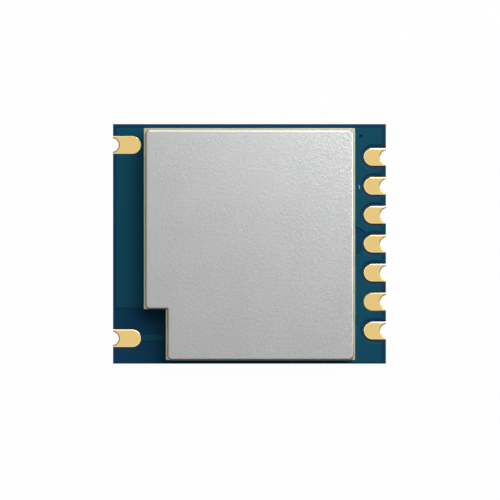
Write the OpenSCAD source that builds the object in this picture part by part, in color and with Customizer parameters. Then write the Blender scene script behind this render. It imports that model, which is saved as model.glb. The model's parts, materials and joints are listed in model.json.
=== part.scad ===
// Wireless transceiver module: a castellated circuit board with a drawn shield can over its circuit.
// The origin is the centre of the underside, +X points to the long row of pads and +Z up.

/* [Board] */
// Length of the board along X
board_l = 18.85; // [18.7:0.05:22]
// Width of the board along Y
board_w = 16.55; // [16.4:0.05:20]
// Thickness of the laminate core
core_t = 0.8; // [0.4:0.05:1.6]
// Finished thickness of the copper on each face
copper_t = 0.065; // [0.05:0.005:0.1]
// Thickness that the gold finish adds to an open land
finish_t = 0.005; // [0.002:0.001:0.01]
// Solder mask over copper
mask_cover = 0.02; // [0.01:0.005:0.025]
// Solder mask on bare laminate and on the edges of copper
mask_film = 0.03; // [0.02:0.005:0.04]
// Bare gap between a signal land and the solder mask
mask_gap = 0.05; // [0.03:0.01:0.08]

/* [Castellated pads] */
// Spacing of the pads in the right-hand row
pad_pitch = 2; // [1.9:0.05:2.15]
// Width of the right-hand lands
right_pad_w = 1.25; // [1.1:0.05:1.4]
// Width of the left-hand lands
left_pad_w = 1.25; // [1.1:0.05:1.4]
// Length of the right-hand lands from the board edge
right_pad_l = 1.55; // [1.2:0.05:1.7]
// Length of the left-hand lands from the board edge
left_pad_l = 1.95; // [1.2:0.05:2]
// Place of the left ground pad along Y
ground_pad_y = 6.83; // [4:0.01:7]
// Place of the antenna pad along Y
antenna_pad_y = -6.53; // [-7:0.01:-6]
// Finished diameter of the half holes
hole_d = 0.95; // [0.6:0.05:1]
// Distance of the hole centres outside the board edge
hole_out = 0.07; // [0.02:0.01:0.15]
// Copper on the wall of a half hole
hole_plating = 0.03; // [0.02:0.005:0.05]

/* [Copper pattern] */
// Gap between the ground pour and signal copper
pour_gap = 0.24; // [0.15:0.01:0.24]
// Set-back of the pour from the top and right board edges
pour_back = 0.35; // [0.25:0.01:0.4]
// Set-back of the pour from the left board edge
pour_back_left = 0.2; // [0.1:0.01:0.4]
// Set-back of the pour from the bottom board edge
pour_back_bottom = 0.08; // [0.05:0.01:0.12]
// Radius of the open patch in the pour beside the shield
patch_r = 1; // [0.8:0.05:1.1]
// Width of the antenna line
antenna_line_w = 0.36; // [0.2:0.02:0.5]
// Width of every other line
line_w = 0.2; // [0.12:0.01:0.22]
// Drilled diameter of a via
via_d = 0.2; // [0.16:0.02:0.3]
// Copper on the wall of a via
via_wall = 0.025; // [0.02:0.005:0.04]
// Width of the copper ring round a signal via
via_rim = 0.08; // [0.06:0.01:0.14]

/* [Shield] */
// Length of the shield can along X
shield_l = 14.35; // [14:0.05:14.5]
// Width of the shield can along Y
shield_w = 15.9; // [15.6:0.05:16]
// Height of the shield can
shield_h = 1.8; // [1.4:0.1:3]
// Offset of the shield can from the board centre along Y
shield_y = -0.08; // [-0.1:0.01:0]
// Sheet thickness
sheet_t = 0.15; // [0.1:0.01:0.2]
// Outer radius of the upright corners
corner_r = 0.3; // [0.26:0.01:0.5]
// Outer radius of the bend round the top
bend_r = 0.15; // [0.12:0.01:0.25]
// Length of the corner notch along X
notch_l = 1.52; // [1.4:0.01:1.7]
// Width of the corner notch along Y
notch_w = 3.52; // [3:0.01:3.6]
// Ground ring showing beside and above the can
ring_out = 0.13; // [0.1:0.01:0.18]
// Ground ring showing below the can
ring_foot = 0.01; // [0.01:0.01:0.1]
// Ground ring inside the can, from its outer face
ring_in = 0.6; // [0.5:0.05:0.7]
// Solder seam under the wall of the can
seam_t = 0.04; // [0.02:0.01:0.08]
// Reach of the solder seam inside the wall
seam_in = 0.12; // [0.05:0.01:0.2]

/* [Chip and crystal] */
// Side of the square chip package
chip_w = 4; // [3.6:0.1:4.2]
// Height of the chip package
chip_h = 0.75; // [0.6:0.05:1]
// Spacing of the chip leads
lead_pitch = 0.5; // [0.4:0.05:0.55]
// Width of a chip lead
lead_w = 0.25; // [0.18:0.01:0.28]
// Length of a chip lead
lead_l = 0.4; // [0.3:0.05:0.5]
// Side of the paddle under the chip
paddle_w = 2.5; // [2.2:0.1:2.7]
// Thickness of the lead frame
lead_t = 0.2; // [0.1:0.05:0.3]
// Length of the crystal
crystal_l = 3.2; // [2.9:0.1:3.3]
// Width of the crystal
crystal_w = 2.5; // [2.3:0.1:2.6]
// Height of the crystal's ceramic base
crystal_base_h = 0.5; // [0.4:0.05:0.7]
// Height of the crystal's lid
crystal_lid_h = 0.25; // [0.15:0.05:0.4]
// Step from the edge of the base to the lid
crystal_lip = 0.15; // [0.1:0.05:0.25]

/* [Chip components] */
// Length of a chip component
part_l = 1; // [0.95:0.01:1.05]
// Width of a chip component
part_w = 0.5; // [0.45:0.01:0.52]
// Height of a capacitor
capacitor_h = 0.5; // [0.4:0.05:0.6]
// Height of an inductor
inductor_h = 0.55; // [0.4:0.05:0.7]
// Height of a resistor
resistor_h = 0.35; // [0.3:0.05:0.5]
// Length of an end cap
cap_l = 0.25; // [0.15:0.01:0.3]
// Metal thickness of an end cap
cap_t = 0.02; // [0.01:0.005:0.04]
// Solder film under a component
solder_t = 0.03; // [0.025:0.005:0.05]
// Height of the solder fillet at an end cap
fillet_h = 0.2; // [0.1:0.02:0.26]

/* [Hidden] */
$fn = 48;
past = 1;

// Heights from the underside upwards
pad_t = copper_t + finish_t;
core_z = copper_t + mask_cover;
top_z = core_z + core_t;
ring_z = top_z + pad_t;
foot_z = ring_z + seam_t;
part_z = ring_z + solder_t;
mask_top_z = top_z + copper_t + mask_cover;

// Plan edges of the shield can
shield_x0 = -shield_l / 2;
shield_x1 = shield_l / 2;
shield_y0 = shield_y - shield_w / 2;
shield_y1 = shield_y + shield_w / 2;
notch_x = shield_x0 + notch_l;
notch_y = shield_y0 + notch_w;
least_bend_r = 0.02;

// The pour beside the notch ends a little above the ring's own edge
pour_end_margin = 0.1;
pour_end_y = notch_y - ring_foot + pour_end_margin;
patch_y = 0.2;
patch_at = [shield_x1, patch_y];

// Castellated pads: name, side of the board, place along Y, length, width, joined to ground
right_count = 7;
ground_number = 6;
function right_y(number) = pad_pitch * ((right_count + 1) / 2 - number);
RIGHT_PADS = [for (n = [1 : right_count])
    [str("right_pad_", n), 1, right_y(n), right_pad_l, right_pad_w, n == ground_number]];
PADS = concat(RIGHT_PADS, [
    ["left_ground_pad", -1, ground_pad_y, left_pad_l, left_pad_w, true],
    ["left_antenna_pad", -1, antenna_pad_y, left_pad_l, left_pad_w, false]]);

// Lands of the chip components: their middles lie just inside the ends of the component
land_back = 0.02;
land_margin = 0.025;
land_reach = part_l / 2 - land_back;
land_l = 0.5;
land_w = part_w + 2 * land_margin;

// Lands of the chip, with so many leads on each side of the middle one
chip_x = 0.8;
chip_y = 0.6;
chip_at = [chip_x, chip_y];
pins = 2;
pin_toe = 0.1;
pin_margin = 0.015;
pin_reach = chip_w / 2;
pin_land_l = lead_l + 2 * pin_toe;
pin_land_w = lead_w + 2 * pin_margin;

// Terminals of the crystal and the margin of their lands
crystal_x = 2.6;
crystal_y = 5;
crystal_at = [crystal_x, crystal_y];
terminal_l = 0.95;
terminal_w = 0.8;
terminal_t = 0.1;
terminal_land = 0.1;
terminal_reach = [crystal_l / 2 - terminal_l / 2, crystal_w / 2 - terminal_w / 2];

// Matching chain to the antenna pad, one component every step down the column;
// its shunt capacitors branch off between two of them
chain_x = -2.6;
chain_y = -0.6;
chain_pitch = 1.8;
shunt_gap = 1.3;
shunt_step = 0.5;
shunt_x = chain_x - shunt_gap;
function chain(step) = chain_y - chain_pitch * step;

// Rows round the chip: supply capacitors below it, bias parts above it, feed parts at its left
row_pitch = 1.2;
supply_x = 0.1;
supply_y = -3;
bias_x = -1;
bias_y = 3.9;
feed_x = -2.9;
feed_y = 1.6;
feed_pitch = 1.7;

// Load capacitors beside the two signal corners of the crystal, and their steps from its base
load_step_x = 1;
load_step_y = 0.4;
far_load_step_x = 1.1;
far_load_step_y = 0.85;
load_x = crystal_x - crystal_l / 2 - load_step_x;
load_y = crystal_y + load_step_y;
far_load_x = crystal_x + crystal_l / 2 + far_load_step_x;
far_load_y = crystal_y + far_load_step_y;

// Chip components: x, y, turn, whether the first and the second end carry a signal
CAPACITORS = [
    [shunt_x, chain(shunt_step), 0, false, true],
    [chain_x, chain(1), 90, true, true],
    [shunt_x, chain(1 + shunt_step), 0, false, true],
    [shunt_x, chain(2 + shunt_step), 0, false, true],
    [supply_x - row_pitch, supply_y, 90, false, true],
    [supply_x, supply_y, 90, false, true],
    [supply_x + row_pitch, supply_y, 90, false, true],
    [bias_x + row_pitch, bias_y, 90, true, false],
    [load_x, load_y, 0, false, true],
    [far_load_x, far_load_y, 90, true, false],
    [feed_x - feed_pitch, feed_y, 0, false, true]];
INDUCTORS = [
    [chain_x, chain(0), 90, true, true],
    [chain_x, chain(2), 90, true, true],
    [chain_x, chain(3), 90, true, true],
    [feed_x, feed_y, 0, true, true]];
RESISTORS = [[bias_x, bias_y, 90, true, false]];
PARTS = concat(CAPACITORS, INDUCTORS, RESISTORS);

// Places of lands: end -1 or 1 of a component, a chip lead by side and number, a crystal corner
function land_at(part, end) =
    [part[0], part[1]] + end * land_reach * [cos(part[2]), sin(part[2])];
function carries(part, end) = part[end < 0 ? 3 : 4];
function pin_at(side, number) = chip_at
    + pin_reach * [cos(side), sin(side)]
    + number * lead_pitch * [-sin(side), cos(side)];
function corner_at(sx, sy) =
    crystal_at + [sx * terminal_reach[0], sy * terminal_reach[1]];

// Vias: the signal ones stand beside the chip, the stitching ones follow the inside of the ring
via_land_r = via_d / 2 + via_rim;
fan_x = 5.6;
via_column_x = 4.4;
via_pitch = 0.8;
stitch_margin = 0.45;
stitch_in = ring_in + stitch_margin;
antenna_via_margin = 0.1;
antenna_ring_gap = 0.12;
antenna_via_out =
    [notch_x - ring_out - antenna_ring_gap - via_land_r, antenna_pad_y];
antenna_via_in =
    [notch_x + ring_in + pour_gap + via_land_r + antenna_via_margin, antenna_pad_y];
last_via_x = 3.4;
last_via_y = -2.6;
last_via = [last_via_x, last_via_y];
corner_via_in_x = 1.75;
corner_via_in_y = 0.83;
corner_via = [board_l / 2 - corner_via_in_x, board_w / 2 - corner_via_in_y];
paddle_via = 0.7;
function pin_of_pad(number) = pins + 1 - number;
function column_via(number) = [via_column_x, chip_at[1] + via_pitch * pin_of_pad(number)];
PAD_VIAS = concat(
    [for (n = [1 : ground_number - 1]) [n, column_via(n), pin_at(0, pin_of_pad(n))]],
    [[right_count, last_via, pin_at(270, pins)]]);
SIGNAL_VIAS = concat([for (v = PAD_VIAS) v[1]], [antenna_via_out, antenna_via_in]);
stitch_pitch = 2;
GROUND_VIAS = concat(
    [for (k = [-2.5 : 2.5]) [k * stitch_pitch, shield_y1 - stitch_in]],
    [for (k = [-0.5 : 2.5]) [k * stitch_pitch, shield_y0 + stitch_in]],
    [for (k = [-1.5 : 2.5]) [shield_x0 + stitch_in, k * stitch_pitch]],
    [for (k = [-2.5 : 2.5]) [shield_x1 - stitch_in, k * stitch_pitch]],
    [for (sx = [-1, 1], sy = [-1, 1]) chip_at + paddle_via * [sx, sy]],
    [corner_via]);

// Antenna line on the top face, and its run to the inside of the ring on the underside
ANTENNA_LINE = [[[-board_l / 2 + left_pad_l - left_pad_w / 2, antenna_pad_y], antenna_via_out]];
ANTENNA_RUN = [[antenna_via_out, antenna_via_in]];

// Other lines on the top face, as lists of corner points
crystal_bend_x = 2.3;
crystal_run_y = 3;
crystal_run_x = 4.85;
TOP_LINES = concat(
    [for (v = PAD_VIAS) [v[1], v[2]]],
    [[antenna_via_in, land_at(INDUCTORS[2], -1)],
    [pin_at(180, 0), [chain_x, pin_at(180, 0)[1]], land_at(INDUCTORS[0], 1)],
    [land_at(INDUCTORS[0], -1), land_at(CAPACITORS[1], 1)],
    [land_at(CAPACITORS[1], -1), land_at(INDUCTORS[1], 1)],
    [land_at(INDUCTORS[1], -1), land_at(INDUCTORS[2], 1)],
    [land_at(CAPACITORS[0], 1), [chain_x, chain(shunt_step)]],
    [land_at(CAPACITORS[2], 1), [chain_x, chain(1 + shunt_step)]],
    [land_at(CAPACITORS[3], 1), [chain_x, chain(2 + shunt_step)]],
    [pin_at(180, -2), land_at(INDUCTORS[3], 1)],
    [land_at(INDUCTORS[3], -1), land_at(CAPACITORS[10], 1)],
    [pin_at(270, -2), land_at(CAPACITORS[4], 1)],
    [pin_at(270, -1), land_at(CAPACITORS[5], 1)],
    [pin_at(270, 0), land_at(CAPACITORS[6], 1)],
    [pin_at(90, 2), land_at(RESISTORS[0], -1)],
    [pin_at(90, 1), land_at(CAPACITORS[7], -1)],
    [pin_at(90, -1), corner_at(-1, -1)],
    [corner_at(-1, -1), land_at(CAPACITORS[8], 1)],
    [pin_at(90, -2), [crystal_bend_x, crystal_run_y], [crystal_run_x, crystal_run_y],
        [crystal_run_x, corner_at(1, 1)[1]], corner_at(1, 1)],
    [[crystal_run_x, land_at(CAPACITORS[9], -1)[1]], land_at(CAPACITORS[9], -1)]]);

// Lines on the underside, from inside the pads to the vias beside the chip
BOTTOM_LINES = [for (v = PAD_VIAS) let (y = right_y(v[0]))
    [[board_l / 2 - right_pad_l + right_pad_w / 2, y], [fan_x, y], v[1]]];

// Printed tick: its pad, its size, its gap from the ring and its drop from the pad's middle
mark_pad = 2;
mark_w = 0.07;
mark_l = 0.26;
mark_t = 0.01;
mark_gap = 0.25;
mark_drop = 0.08;

gold = [0.91, 0.78, 0.5];
copper = [0.72, 0.45, 0.3];
teal = [0.09, 0.31, 0.4];
laminate = [0.62, 0.6, 0.42];
tin = [0.74, 0.745, 0.74];
solder = [0.68, 0.69, 0.69];

// Board outline
module board_2d() {
    square([board_l, board_w], center = true);
}

// A child drawn at a pad: the board edge is its x = 0 and the board lies on its -X side
module at_pad(pad) {
    translate([pad[1] * board_l / 2, pad[2]])
        rotate(pad[1] > 0 ? 0 : 180)
            children();
}

// Land with a full-radius inner end, run out past the board edge by over
module pad_land_2d(pad, grow = 0, over = 0) {
    l = pad[3];
    w = pad[4];
    at_pad(pad) {
        translate([w / 2 - l, 0])
            circle(w / 2 + grow);
        translate([w / 2 - l, -w / 2 - grow])
            square([l - w / 2 + over, w + 2 * grow]);
    }
}

// Drilled hole of a pad, grown by the plating where the laminate is cut
module pad_hole_2d(pad, grow = 0) {
    at_pad(pad)
        translate([hole_out, 0])
            circle(hole_d / 2 + grow);
}

// L-shaped outline round the shield, with one margin at the foot edges and one at all others
module shield_2d(side, foot) {
    polygon([
        [notch_x - side, shield_y0 - foot],
        [shield_x1 + side, shield_y0 - foot],
        [shield_x1 + side, shield_y1 + side],
        [shield_x0 - side, shield_y1 + side],
        [shield_x0 - side, notch_y - foot],
        [notch_x - side, notch_y - foot]]);
}

module ring_2d() {
    difference() {
        shield_2d(ring_out, ring_foot);
        shield_2d(-ring_in, -ring_in);
    }
}

// Straight lines through lists of points, with round joints
module lines_2d(lines, w) {
    for (points = lines, i = [1 : len(points) - 1])
        let (run = points[i] - points[i - 1])
            translate(points[i - 1]) {
                rotate(atan2(run[1], run[0]))
                    translate([0, -w / 2])
                        square([norm(run), w]);
                if (i > 1)
                    circle(w / 2);
            }
}

module circles_2d(places, r) {
    for (place = places)
        translate(place)
            circle(r);
}

// Rectangle with rounded corners
module rounded_2d(x0, x1, y0, y1, r) {
    translate([x0 + r, y0])
        square([x1 - x0 - 2 * r, y1 - y0]);
    translate([x0, y0 + r])
        square([x1 - x0, y1 - y0 - 2 * r]);
    circles_2d([for (x = [x0 + r, x1 - r], y = [y0 + r, y1 - r]) [x, y]], r);
}

// Lands under the components, for those that carry a signal or those on ground
module part_lands_2d(signal, grow = 0) {
    for (part = PARTS, end = [-1, 1])
        if (carries(part, end) == signal)
            translate(land_at(part, end))
                rotate(part[2])
                    square([land_l + 2 * grow, land_w + 2 * grow], center = true);
    for (sx = [-1, 1], sy = [-1, 1])
        if ((sx == sy) == signal)
            let (margin = terminal_land + grow)
                translate(corner_at(sx, sy))
                    square([terminal_l, terminal_w] + 2 * [margin, margin], center = true);
}

// Pour left out under a component with a signal at both ends
module series_clear_2d(gap) {
    for (part = PARTS)
        if (carries(part, -1) && carries(part, 1))
            translate([part[0], part[1]])
                rotate(part[2])
                    square([2 * land_reach, land_w + 2 * gap], center = true);
}

// Lands under the leads and the paddle of the chip
module chip_lands_2d(grow = 0) {
    for (side = [0 : 90 : 270], number = [-pins : pins])
        translate(pin_at(side, number))
            rotate(side)
                square([pin_land_l + 2 * grow, pin_land_w + 2 * grow], center = true);
    translate(chip_at)
        square(paddle_w + 2 * grow, center = true);
}

module all_lands_2d() {
    part_lands_2d(true);
    part_lands_2d(false);
    chip_lands_2d();
    for (pad = PADS)
        pad_land_2d(pad, 0, past);
}

// Board area that may carry pour: set back from the edges, with the antenna corner left out
module pour_area_2d(grow) {
    x0 = -board_l / 2 + pour_back_left - grow;
    x1 = board_l / 2 - pour_back + grow;
    y0 = -board_w / 2 + pour_back_bottom - grow;
    y1 = board_w / 2 - pour_back + grow;
    difference() {
        translate([x0, y0])
            square([x1 - x0, y1 - y0]);
        translate([-board_l, -board_w])
            square([board_l + notch_x - ring_out - grow, board_w + pour_end_y - grow]);
        for (pad = PADS)
            if (!pad[5])
                pad_land_2d(pad, pour_gap - grow, past);
    }
}

// Copper of the top face under the mask, with every edge moved out by grow
module top_copper_2d(grow = 0) {
    gap = pour_gap - grow;
    pin_clear = 2 * (pin_reach + pin_land_l / 2 + gap);
    difference() {
        union() {
            difference() {
                pour_area_2d(grow);
                shield_2d(ring_out, ring_foot);
                translate(patch_at)
                    circle(patch_r - grow);
            }
            difference() {
                shield_2d(-ring_in, -ring_in);
                part_lands_2d(true, gap);
                series_clear_2d(gap);
                translate(chip_at)
                    square(pin_clear, center = true);
                lines_2d(TOP_LINES, line_w + 2 * gap);
                circles_2d(SIGNAL_VIAS, via_land_r + gap);
            }
            lines_2d(TOP_LINES, line_w + 2 * grow);
            lines_2d(ANTENNA_LINE, antenna_line_w + 2 * grow);
            circles_2d(SIGNAL_VIAS, via_land_r + grow);
        }
        all_lands_2d();
    }
}

// Copper of the underside, with every edge moved out by grow
module bottom_copper_2d(grow = 0) {
    gap = pour_gap - grow;
    difference() {
        union() {
            difference() {
                pour_area_2d(grow);
                lines_2d(BOTTOM_LINES, line_w + 2 * gap);
                lines_2d(ANTENNA_RUN, antenna_line_w + 2 * gap);
                circles_2d(SIGNAL_VIAS, via_land_r + gap);
            }
            lines_2d(BOTTOM_LINES, line_w + 2 * grow);
            lines_2d(ANTENNA_RUN, antenna_line_w + 2 * grow);
            circles_2d(SIGNAL_VIAS, via_land_r + grow);
        }
        for (pad = PADS)
            pad_land_2d(pad, 0, past);
    }
}

module via_holes_2d(r = via_d / 2) {
    circles_2d(concat(SIGNAL_VIAS, GROUND_VIAS), r);
}

// Openings that the castellated lands leave in a mask: a ground land is open to its own edge
module pad_openings_2d() {
    for (pad = PADS)
        pad_land_2d(pad, pad[5] ? 0 : mask_gap, past);
}

module board_core() {
    color(laminate)
        translate([0, 0, core_z])
            linear_extrude(core_t)
                difference() {
                    board_2d();
                    via_holes_2d();
                    for (pad = PADS)
                        pad_hole_2d(pad, hole_plating);
                }
}

module top_copper() {
    color(copper)
        translate([0, 0, top_z])
            linear_extrude(copper_t)
                difference() {
                    top_copper_2d();
                    via_holes_2d();
                }
}

module bottom_copper() {
    color(copper)
        translate([0, 0, mask_cover])
            linear_extrude(copper_t)
                difference() {
                    bottom_copper_2d();
                    via_holes_2d();
                }
}

// Mask on laminate with a raised field over the copper, drawn from the laminate upwards.
// Children: the copper, the copper grown by the mask on its edges, the openings.
module mask_layer() {
    difference() {
        union() {
            linear_extrude(mask_film)
                board_2d();
            linear_extrude(copper_t + mask_cover)
                children(1);
        }
        translate([0, 0, -past])
            linear_extrude(past + copper_t)
                children(0);
        translate([0, 0, -past])
            linear_extrude(3 * past)
                children(2);
    }
}

module top_solder_mask() {
    color(teal)
        translate([0, 0, top_z])
            mask_layer() {
                top_copper_2d();
                top_copper_2d(mask_film);
                union() {
                    pad_openings_2d();
                    ring_2d();
                    part_lands_2d(true, mask_gap);
                    part_lands_2d(false);
                    chip_lands_2d(mask_gap);
                }
            }
}

module bottom_solder_mask() {
    color(teal)
        translate([0, 0, core_z])
            mirror([0, 0, 1])
                mask_layer() {
                    bottom_copper_2d();
                    bottom_copper_2d(mask_film);
                    pad_openings_2d();
                }
}

module vias() {
    color(copper)
        translate([0, 0, mask_cover])
            linear_extrude(core_t + 2 * copper_t)
                difference() {
                    via_holes_2d();
                    via_holes_2d(via_d / 2 - via_wall);
                }
}

// Printed tick beside its pad
module legend_mark() {
    x = shield_x1 + ring_out + mark_gap;
    y = right_y(mark_pad) - mark_drop - mark_l / 2;
    color("white")
        translate([x, y, mask_top_z])
            cube([mark_w, mark_l, mark_t]);
}

// One castellated pad: land above, land below and the plated half hole between them
module castellated_pad(pad) {
    color(gold) {
        for (z = [core_z - pad_t, top_z])
            translate([0, 0, z])
                linear_extrude(pad_t)
                    difference() {
                        pad_land_2d(pad);
                        pad_hole_2d(pad);
                    }
        translate([0, 0, core_z])
            linear_extrude(core_t)
                intersection() {
                    board_2d();
                    difference() {
                        pad_hole_2d(pad, hole_plating);
                        pad_hole_2d(pad);
                    }
                }
    }
}

module shield_ring() {
    color(gold)
        translate([0, 0, top_z])
            linear_extrude(pad_t)
                ring_2d();
}

// L-shaped plan with rounded corners, moved in from the can's outer face
module can_2d(inset) {
    r = corner_r - inset;
    rounded_2d(notch_x + inset, shield_x1 - inset, shield_y0 + inset, shield_y1 - inset, r);
    rounded_2d(shield_x0 + inset, shield_x1 - inset, notch_y + inset, shield_y1 - inset, r);
}

module shield_seam() {
    color(solder)
        translate([0, 0, ring_z])
            linear_extrude(seam_t)
                difference() {
                    can_2d(0);
                    shield_2d(-sheet_t - seam_in, -sheet_t - seam_in);
                }
}

// Section across a drawn block: flat top, both upper corners rounded
module crown_2d(a0, a1, h, bend) {
    translate([a0, 0])
        square([a1 - a0, h - bend]);
    translate([a0 + bend, 0])
        square([a1 - a0 - 2 * bend, h]);
    circles_2d([[a0 + bend, h - bend], [a1 - bend, h - bend]], bend);
}

// Upright corner of a drawn block, turned from its half section
module corner_post(h, r, bend) {
    rotate_extrude()
        intersection() {
            square([r, h]);
            crown_2d(-r, r, h, bend);
        }
}

// Block with rounded upright corners and a bend of constant radius round its top
module drawn_block(x0, x1, y0, y1, h, r, bend) {
    translate([0, y1 - r, 0])
        rotate([90, 0, 0])
            linear_extrude(y1 - y0 - 2 * r)
                crown_2d(x0, x1, h, bend);
    translate([x0 + r, 0, 0])
        rotate([90, 0, 90])
            linear_extrude(x1 - x0 - 2 * r)
                crown_2d(y0, y1, h, bend);
    for (x = [x0 + r, x1 - r], y = [y0 + r, y1 - r])
        translate([x, y, 0])
            corner_post(h, r, bend);
}

// The can's outer or inner skin as a block: two drawn blocks that cross leave the corner notch
module can_block(inset, h) {
    r = corner_r - inset;
    bend = max(bend_r - inset, least_bend_r);
    x1 = shield_x1 - inset;
    y1 = shield_y1 - inset;
    drawn_block(notch_x + inset, x1, shield_y0 + inset, y1, h, r, bend);
    drawn_block(shield_x0 + inset, x1, notch_y + inset, y1, h, r, bend);
}

module shield_can() {
    color(tin)
        translate([0, 0, foot_z])
            difference() {
                can_block(0, shield_h);
                translate([0, 0, -past])
                    can_block(sheet_t, shield_h - sheet_t + past);
            }
}

module component_lands() {
    color(gold)
        translate([0, 0, top_z])
            linear_extrude(pad_t)
                difference() {
                    union() {
                        part_lands_2d(true);
                        part_lands_2d(false);
                        chip_lands_2d();
                    }
                    via_holes_2d();
                }
}

// A child drawn at the middle of a component, with the component's length along X
module at_part(part) {
    translate([part[0], part[1], part_z])
        rotate(part[2])
            children();
}

// Solder under an end cap with a fillet in front of it
module end_solder() {
    fillet_l = land_reach + land_l / 2 - part_l / 2;
    translate([land_reach - land_l / 2, -part_w / 2, -solder_t])
        cube([land_l, part_w, solder_t]);
    translate([part_l / 2, part_w / 2, 0])
        rotate([90, 0, 0])
            linear_extrude(part_w)
                polygon([[0, -solder_t], [fillet_l, -solder_t], [fillet_l, 0], [0, fillet_h]]);
}

module component_solder() {
    color(solder) {
        for (part = PARTS, turn = [0, 180])
            at_part(part)
                rotate(turn)
                    end_solder();
        translate([0, 0, ring_z])
            linear_extrude(solder_t) {
                chip_feet_2d();
                crystal_feet_2d();
            }
    }
}

// Undersides of the chip's leads and paddle
module chip_leads_2d() {
    for (side = [0 : 90 : 270], number = [-pins : pins])
        translate(pin_at(side, number))
            rotate(side)
                translate([-lead_l, -lead_w / 2])
                    square([lead_l, lead_w]);
}

module chip_paddle_2d() {
    translate(chip_at)
        square(paddle_w, center = true);
}

module chip_feet_2d() {
    chip_leads_2d();
    chip_paddle_2d();
}

module crystal_feet_2d() {
    for (sx = [-1, 1], sy = [-1, 1])
        translate(corner_at(sx, sy))
            square([terminal_l, terminal_w], center = true);
}

module chip_body() {
    color([0.08, 0.08, 0.09])
        translate([0, 0, part_z])
            difference() {
                translate(chip_at)
                    linear_extrude(chip_h)
                        square(chip_w, center = true);
                translate([0, 0, -past])
                    linear_extrude(past + lead_t)
                        chip_feet_2d();
            }
}

module chip_leads() {
    color(tin)
        translate([0, 0, part_z])
            linear_extrude(lead_t)
                chip_leads_2d();
}

module chip_paddle() {
    color(tin)
        translate([0, 0, part_z])
            linear_extrude(lead_t)
                chip_paddle_2d();
}

module crystal_base() {
    color([0.45, 0.4, 0.33])
        translate([0, 0, part_z])
            difference() {
                translate(crystal_at)
                    linear_extrude(crystal_base_h)
                        square([crystal_l, crystal_w], center = true);
                translate([0, 0, -past])
                    linear_extrude(past + terminal_t)
                        crystal_feet_2d();
            }
}

module crystal_lid() {
    lid = [crystal_l / 2 - crystal_lip, crystal_w / 2 - crystal_lip];
    lid_corner_r = 0.2;
    color(tin)
        translate([crystal_at[0], crystal_at[1], part_z + crystal_base_h])
            linear_extrude(crystal_lid_h)
                rounded_2d(-lid[0], lid[0], -lid[1], lid[1], lid_corner_r);
}

module crystal_terminals() {
    color(gold)
        translate([0, 0, part_z])
            linear_extrude(terminal_t)
                crystal_feet_2d();
}

// Ceramic block of a chip component, between and inside its end caps
module part_core(part, h, tint) {
    color(tint)
        at_part(part)
            translate([cap_t - part_l / 2, cap_t - part_w / 2, cap_t])
                cube([part_l, part_w, h] - 2 * [cap_t, cap_t, cap_t]);
}

// Two metal caps that close over the ends of a chip component
module end_caps(parts, h) {
    color(tin)
        for (part = parts)
            difference() {
                at_part(part)
                    for (x = [-part_l / 2, part_l / 2 - cap_l])
                        translate([x, -part_w / 2, 0])
                            cube([cap_l, part_w, h]);
                part_core(part, h, tin);
            }
}

board_core();
top_copper();
bottom_copper();
top_solder_mask();
bottom_solder_mask();
vias();
legend_mark();
shield_ring();
shield_seam();
shield_can();
component_lands();
component_solder();
chip_body();
chip_leads();
chip_paddle();
crystal_base();
crystal_lid();
crystal_terminals();
end_caps(CAPACITORS, capacitor_h);  // capacitor_caps
end_caps(INDUCTORS, inductor_h);  // inductor_caps
end_caps(RESISTORS, resistor_h);  // resistor_caps
for (pad = PADS)
    castellated_pad(pad);
for (n = [1 : len(CAPACITORS)])
    part_core(CAPACITORS[n - 1], capacitor_h, [0.62, 0.5, 0.38]);
for (n = [1 : len(INDUCTORS)])
    part_core(INDUCTORS[n - 1], inductor_h, [0.3, 0.36, 0.4]);
for (n = [1 : len(RESISTORS)])
    part_core(RESISTORS[n - 1], resistor_h, [0.1, 0.1, 0.11]);
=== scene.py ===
"""Visible pieces and finishes of a shielded radio transceiver module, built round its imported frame."""
import json
import math

import bmesh
import bpy
import numpy as np
from bpy.props import FloatProperty, FloatVectorProperty, IntProperty, PointerProperty
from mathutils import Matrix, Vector


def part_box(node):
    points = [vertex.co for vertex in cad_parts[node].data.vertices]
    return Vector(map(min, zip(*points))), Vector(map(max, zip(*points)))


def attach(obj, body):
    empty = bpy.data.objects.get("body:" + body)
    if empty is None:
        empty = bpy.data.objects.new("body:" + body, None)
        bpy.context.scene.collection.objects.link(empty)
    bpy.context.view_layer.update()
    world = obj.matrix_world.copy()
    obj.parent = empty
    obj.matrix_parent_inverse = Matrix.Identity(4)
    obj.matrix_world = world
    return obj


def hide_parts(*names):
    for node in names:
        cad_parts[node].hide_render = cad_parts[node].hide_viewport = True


bl_info = {
    "name": "Transceiver module",
    "version": (1, 0, 0),
    "blender": (4, 5, 0),
    "location": "View3D > Sidebar > Transceiver",
    "description": "Builds the visible pieces and finishes of a shielded radio transceiver module",
    "category": "Object",
}

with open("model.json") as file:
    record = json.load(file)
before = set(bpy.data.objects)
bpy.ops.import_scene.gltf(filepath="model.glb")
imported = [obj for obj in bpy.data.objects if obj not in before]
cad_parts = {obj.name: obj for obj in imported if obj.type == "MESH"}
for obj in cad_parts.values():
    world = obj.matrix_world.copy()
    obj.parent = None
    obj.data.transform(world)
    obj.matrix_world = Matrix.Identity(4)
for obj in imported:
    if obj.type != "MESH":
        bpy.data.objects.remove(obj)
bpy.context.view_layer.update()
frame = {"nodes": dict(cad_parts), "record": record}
MM = 0.001
MERGE = 0.0005 * MM
FLOOR_DROP = 0.01 * MM

# Places that the frame gives
BOARD_LO, BOARD_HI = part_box("board_core")
CAN_LO, CAN_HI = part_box("shield_can")
MARK_LO, MARK_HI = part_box("legend_mark")
RIGHT_PADS = ["right_pad_%d" % n for n in range(1, 8)]
LEFT_PADS = ["left_ground_pad", "left_antenna_pad"]
GROUND_PADS = ("right_pad_6", "left_ground_pad")

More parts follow.
